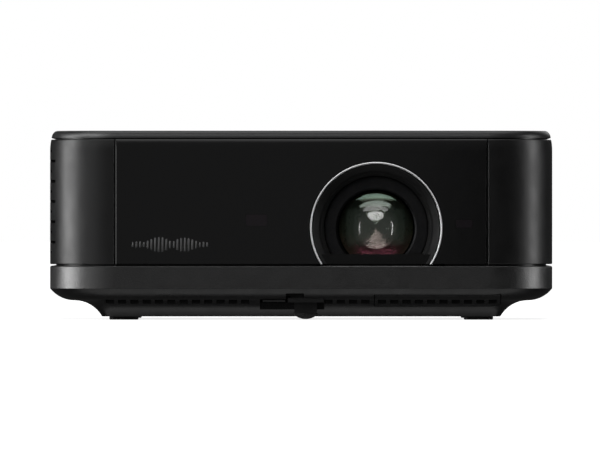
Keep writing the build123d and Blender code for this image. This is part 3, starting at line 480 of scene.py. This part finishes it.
def lens_element(name, radius, front, back, *coats, steps=40):
    """A closed lens in the sliding group; coats are the materials of its front, back and edge."""
    radii = [radius * i / steps for i in range(steps + 1)]
    profile = [(r, front(r)) for r in radii] + [(r, back(r)) for r in reversed(radii)]
    bm = bmesh.new()
    lathe_into(bm, profile, (LENS.x, 0, LENS.z))
    obj = add(name, bm, "front_group", "glass", coats[0])
    for material in coats[1:]:
        obj.data.materials.append(material)
    for polygon in obj.data.polygons:
        on_edge = abs(polygon.normal.y) < 0.05
        polygon.material_index = 2 if on_edge else (0 if polygon.normal.y < 0 else 1)
    obj.data.set_sharp_from_angle(angle=math.radians(35))
    return obj


def make_lens():
    """The coated elements seen from the front, nested behind the domed one."""
    edge = MATERIALS["barrel"]
    green = coated("coat_green", (0.66, 0.95, 0.76), 0.06)
    pale_green = coated("coat_pale_green", (0.84, 1.0, 0.86), 0.08, 0.08)
    white = coated("coat_white", (0.95, 0.96, 0.93), 0.08, 0.09)
    soft = coated("coat_soft", (0.97, 0.95, 0.94), 0.16, 0.08)
    faint = coated("coat_faint", (0.8, 1.0, 0.75), 0.03)
    rose = coated("coat_rose", (1.0, 0.80, 0.74), 0.14, 0.24)
    # The third colour is the painted rose tint of the reflections low in the lens
    deep = deep_glass("coat_deep", (0.05, 0.05, 0.03), (1.0, 0.22, 0.38))
    # name: radius, front and back surfaces, front and back coats
    elements = {
        "domed_front_element": (14.9, sphere(-89.0, 34.0), sphere(-87.6, 32.0), green, faint),
        "second_element": (12.5, sphere(-87.0, 25.0), sphere(-85.8, 20.0), pale_green, white),
        "third_element": (9.0, sphere(-85.2, 13.9), sphere(-83.5, 17.0), soft, faint),
        "fourth_element": (7.8, sphere(-82.5, 9.0), cone(-74.6, 0.435), faint, rose),
        "rear_element": (14.0, sphere(-74.2, -26.0), sphere(-73.0, -80.0), deep, deep),
    }
    made = {name: lens_element(name, *shape, edge) for name, shape in elements.items()}
    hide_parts("front_lens")
    return made


ELEMENTS = make_lens()


# ---------------------------------------------------------------- printed marks
def pill(x, z, wide, high, corner=None, steps=8):
    """A slot's outline round x, z, or a rectangle's if its corner radius is given."""
    r = corner or min(wide, high) / 2
    points = []
    for quarter, (sx, sz) in enumerate(((1, 1), (-1, 1), (-1, -1), (1, -1))):
        corner_x, corner_z = x + sx * (wide / 2 - r), z + sz * (high / 2 - r)
        for k in range(steps + 1):
            a = math.radians(90 * quarter + 90 * k / steps)
            points.append((corner_x + r * math.cos(a), corner_z + r * math.sin(a)))
    return points


def printed(name, colour):
    """Screen-printed ink, a little broken up."""
    m = Mat(name, colour, 0.45, 0.4)
    broken = m.ramp(m.noise(0.25, 3.0, 0.7), 0.3, 0.65)
    m.colour(m.mix(broken, shade(colour, 0.7), shade(colour, 1.1)))
    m.roughness(m.ramp(m.noise(0.5), 0.3, 0.7, 0.35, 0.55))
    m.bump(m.noise(0.3, 2.0), 0.01)
    return m.mat


INK = printed("ink", (0.27, 0.27, 0.275))
INK_BRIGHT = printed("ink_bright", (0.30, 0.30, 0.31))
INK_DEEP = 0.03


def make_wave_mark():
    """A plain row of bars, like a sound wave, low on the front panel."""
    left, right, middle, bar_wide, tallest, count = -63.5, -35.4, 28.4, 0.62, 6.2, 21
    bm = bmesh.new()
    for i in range(count):
        t = i / (count - 1)
        swell = abs(math.sin(math.pi * t)) * abs(math.cos(2.6 * math.pi * t + 0.4))
        bar = pill(left + (right - left) * t, middle, bar_wide, tallest * (0.30 + 0.70 * swell))
        prism_into(bm, bar, (0, FRONT_Y, 0), X, Z, INK_DEEP)
    add("wave_mark", bm, "projector", "window", INK)


def make_button_icons():
    """Generic symbols on the four caps: power, source, volume down and up."""
    line, reach = 0.42, 1.5
    for cap in ("power", "source", "volume_down", "volume_up"):
        low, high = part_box(cap + "_button")
        centre = Vector(((low.x + high.x) / 2, (low.y + high.y) / 2, high.z)) / MM
        bm = bmesh.new()
        on_top = dict(u=X, v=Y, depth=INK_DEEP)
        if cap == "power":
            ring_into(bm, centre, X, Y, reach, reach - line, INK_DEEP, start=125, end=415)
            prism_into(bm, pill(0, 1.1, line, 1.7), centre, **on_top)
        elif cap == "source":
            prism_into(bm, pill(-0.6, 0, 1.9, line), centre, **on_top)
            prism_into(bm, [(0.1, -0.8), (1.0, 0), (0.1, 0.8)], centre, **on_top)
            ring_into(bm, centre, X, Y, 2.2, 2.2 - line, INK_DEEP, start=-140, end=140)
        else:
            prism_into(bm, pill(0, 0, 2 * reach, line), centre, **on_top)
            if cap == "volume_up":
                for sign in (-1, 1):
                    prism_into(bm, pill(0, sign * 0.87, line, 1.25), centre, **on_top)
        add(cap + "_icon", bm, cap + "_cap", "button", INK_BRIGHT)


def make_rear_cloth():
    """The fine dust cloth just inside the rear vents."""
    bm = bmesh.new()
    inner_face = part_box("rear_panel")[1].y / MM - 2.2
    prism_into(bm, pill(0, 54.5, 132.0, 20.5, 1.0), (0, inner_face, 0), u=X, v=Z, depth=0.25)
    add("rear_dust_cloth", bm, "projector", "cloth", smooth=False)


make_wave_mark()
make_button_icons()
make_rear_cloth()

# ---------------------------------------------------------------- camera
scene = bpy.context.scene
scene.view_settings.view_transform = "Standard"
scene.view_settings.look = "None"
scene.view_settings.exposure = 0.0
scene.view_settings.gamma = 1.0
scene.cycles.transparent_max_bounces = 32

# The camera looks straight at the front from afar, and sees VIEW_WIDE metres at y VIEW_DEPTH
CAMERA_AWAY, CAMERA_X, CAMERA_Z = 7.0, -0.00045, 0.0358
VIEW_WIDE, VIEW_DEPTH = 0.22704, -0.072
camera = bpy.data.objects.new("camera", bpy.data.cameras.new("camera"))
scene.collection.objects.link(camera)
camera.location = (CAMERA_X, -CAMERA_AWAY, CAMERA_Z)
camera.rotation_euler = (math.radians(90), 0, 0)
camera.data.sensor_width = 36.0
camera.data.lens = camera.data.sensor_width * (CAMERA_AWAY + VIEW_DEPTH) / VIEW_WIDE
camera.data.clip_start, camera.data.clip_end = 0.5, 80.0
scene.camera = camera

# ---------------------------------------------------------------- light
MIDDLE = Vector((0.0, FRONT_Y, LENS.z)) * MM
CASE = list(NODES.values())
ALL_GLASS = list(ELEMENTS.values())


def around(azimuth, elevation, distance):
    """A place seen from the front's middle: azimuth from -Y towards +X, elevation above level."""
    a, e = math.radians(azimuth), math.radians(elevation)
    ahead = Vector((math.sin(a) * math.cos(e), -math.cos(a) * math.cos(e), math.sin(e)))
    return MIDDLE + ahead * distance


def collection_of(name, pieces):
    """A collection for light linking alone, outside the scene."""
    made = bpy.data.collections.new(name)
    for piece in pieces:
        made.objects.link(piece)
    return made


def lamp(name, place, wide, high, radiance, target=MIDDLE, lit=(), shades=(), shape="RECTANGLE"):
    """A soft box of the given radiance, hidden from the camera.

    It lights every piece, or those in lit. Every piece shades it, or those in shades.
    """
    light = bpy.data.lights.new(name, "AREA")
    light.shape = shape
    light.size, light.size_y = wide, high
    light.energy = radiance * math.pi * wide * high
    obj = bpy.data.objects.new(name, light)
    scene.collection.objects.link(obj)
    obj.location = place
    direction = Vector(target) - Vector(place)
    obj.rotation_euler = direction.to_track_quat("-Z", "Y").to_euler()
    obj.visible_camera = False
    if lit:
        obj.light_linking.receiver_collection = collection_of(name + "_lit", lit)
    if shades:
        obj.light_linking.blocker_collection = collection_of(name + "_shades", shades)


def glasses(*names):
    return [ELEMENTS[name + "_element"] for name in names]


lamp("strip_left", (-0.95, -0.11, 0.12), 0.47, 0.9, 6.5, target=(-0.09, -0.09, 0.04))
lamp("strip_right", (0.95, -0.12, 0.12), 0.30, 0.9, 4.3, target=(0.09, -0.09, 0.04))
lamp("top_box", (0.0, 0.05, 0.95), 0.9, 0.8, 1.6, target=(0.0, 0.0, 0.0))
# The highlights in the lens, and along the case's front edges
outer_glass = glasses("domed_front", "second", "rear")
lamp("brow_lens", around(0, 46.5, 1.25), 1.2, 0.285, 3.4, lit=outer_glass)
lamp("brow_body", around(-16, 46.5, 1.25), 1.0, 0.285, 2.6, lit=CASE)
inner_glass = glasses("third", "fourth")
lamp("core_lens", around(0, 43, 1.3), 1.10, 0.85, 3.2, lit=inner_glass, shape="ELLIPSE")
lamp("brow_low", around(-20, 27, 1.35), 1.0, 0.36, 0.6, lit=CASE)
for name, azimuth in (("kicker_left", -54), ("kicker_right", 54)):
    place = around(azimuth, 0, 1.3)
    lamp(name, place, 0.05, 0.82, 9.0, lit=glasses("third"), shades=CASE + ALL_GLASS)
lamp("ring_fill", around(5, 25, 1.5), 2.4, 1.4, 1.0, lit=[NODES["lens_ring"]])
lamp("fill_left", around(-50, 8, 1.7), 1.2, 1.0, 0.6, lit=CASE)
lamp("crown_left", around(-55, 40, 1.4), 1.1, 0.7, 5.5, lit=[NODES["top_cover"]])
lamp("front_fill", (-0.65, -1.7, 0.35), 1.6, 1.3, 0.15, target=(0.0, 0.0, 0.03), lit=CASE)
lamp("lens_fill", around(0, 2, 1.6), 2.6, 1.6, 0.08, lit=glasses("domed_front", "second"))
lamp("rear_fill", (0.3, 1.6, 0.7), 1.4, 0.8, 0.9, target=(0.0, 0.1, 0.03))
# The bevel by the front panel's left seam
seam, panel = (-0.07, -0.09, 0.045), [NODES["front_panel"]]
lamp("edge_left", (-1.0, -0.1, 0.045), 0.3, 0.3, 1.5, target=seam, lit=panel, shades=panel)
# What a pale table throws up at the front of the hull
above = (0.0, -0.107, 0.0)
lamp("table_box", (0.0, -0.107, -0.35), 0.7, 0.22, 0.95, target=above, lit=CASE, shades=CASE)


# ---------------------------------------------------------------- world and floor
WORLD_FILL = 0.035
FLOOR_HALF = 30.0
FLOOR_DULL, FLOOR_PALE = 0.16, 0.85


def make_world():
    """White to the camera, and a dim fill to everything else."""
    world = bpy.data.worlds.new("world")
    scene.world = world
    world.use_nodes = True
    nodes, links = world.node_tree.nodes, world.node_tree.links
    nodes.clear()
    out = nodes.new("ShaderNodeOutputWorld")
    mixer = nodes.new("ShaderNodeMixShader")
    path = nodes.new("ShaderNodeLightPath")
    links.new(path.outputs["Is Camera Ray"], mixer.inputs[0])
    for slot, strength in ((1, WORLD_FILL), (2, 1.0)):
        background = nodes.new("ShaderNodeBackground")
        background.inputs["Color"].default_value = (1, 1, 1, 1)
        background.inputs["Strength"].default_value = strength
        links.new(background.outputs[0], mixer.inputs[slot])
    links.new(mixer.outputs[0], out.inputs[0])


def floor_material():
    """Pale to the camera, brighter further off, dull to other rays, and clear from below."""
    near, far, near_glow, far_glow = 0.25, 1.1, 0.80, 1.05
    mat = bpy.data.materials.new("floor")
    mat.use_nodes = True
    tree = mat.node_tree
    tree.nodes.clear()

    def node(kind, *links):
        """A node with sockets linked to its inputs in turn."""
        made = tree.nodes.new("ShaderNode" + kind)
        for slot, socket in enumerate(links):
            if socket is not None:
                tree.links.new(socket, made.inputs[slot])
        return made

    dull, pale = node("BsdfDiffuse"), node("BsdfDiffuse")
    dull.inputs["Color"].default_value = (FLOOR_DULL, FLOOR_DULL, FLOOR_DULL, 1)
    pale.inputs["Color"].default_value = (FLOOR_PALE, FLOOR_PALE, FLOOR_PALE, 1)
    reach = node("VectorMath", node("TexCoord").outputs["Object"])
    reach.operation = "LENGTH"
    fade = node("MapRange", reach.outputs["Value"])
    for socket, value in zip(fade.inputs[1:5], (near, far, near_glow, far_glow)):
        socket.default_value = value
    glow = node("Emission", None, fade.outputs[0])
    seen = node("AddShader", pale.outputs[0], glow.outputs[0])
    to_camera = node("LightPath").outputs["Is Camera Ray"]
    above = node("MixShader", to_camera, dull.outputs[0], seen.outputs[0])
    from_below = node("NewGeometry").outputs["Backfacing"]
    clear = node("BsdfTransparent")
    surface = node("MixShader", from_below, above.outputs[0], clear.outputs[0])
    node("OutputMaterial", surface.outputs[0])
    return mat


def make_floor():
    """A plain floor, left out of reflections so that it throws little light up at the object."""
    bm = bmesh.new()
    bmesh.ops.create_grid(bm, x_segments=8, y_segments=8, size=FLOOR_HALF)
    mesh = bpy.data.meshes.new("floor")
    bm.to_mesh(mesh)
    bm.free()
    mesh.materials.append(floor_material())
    floor = bpy.data.objects.new("floor", mesh)
    scene.collection.objects.link(floor)
    floor.visible_glossy = False


make_world()
make_floor()
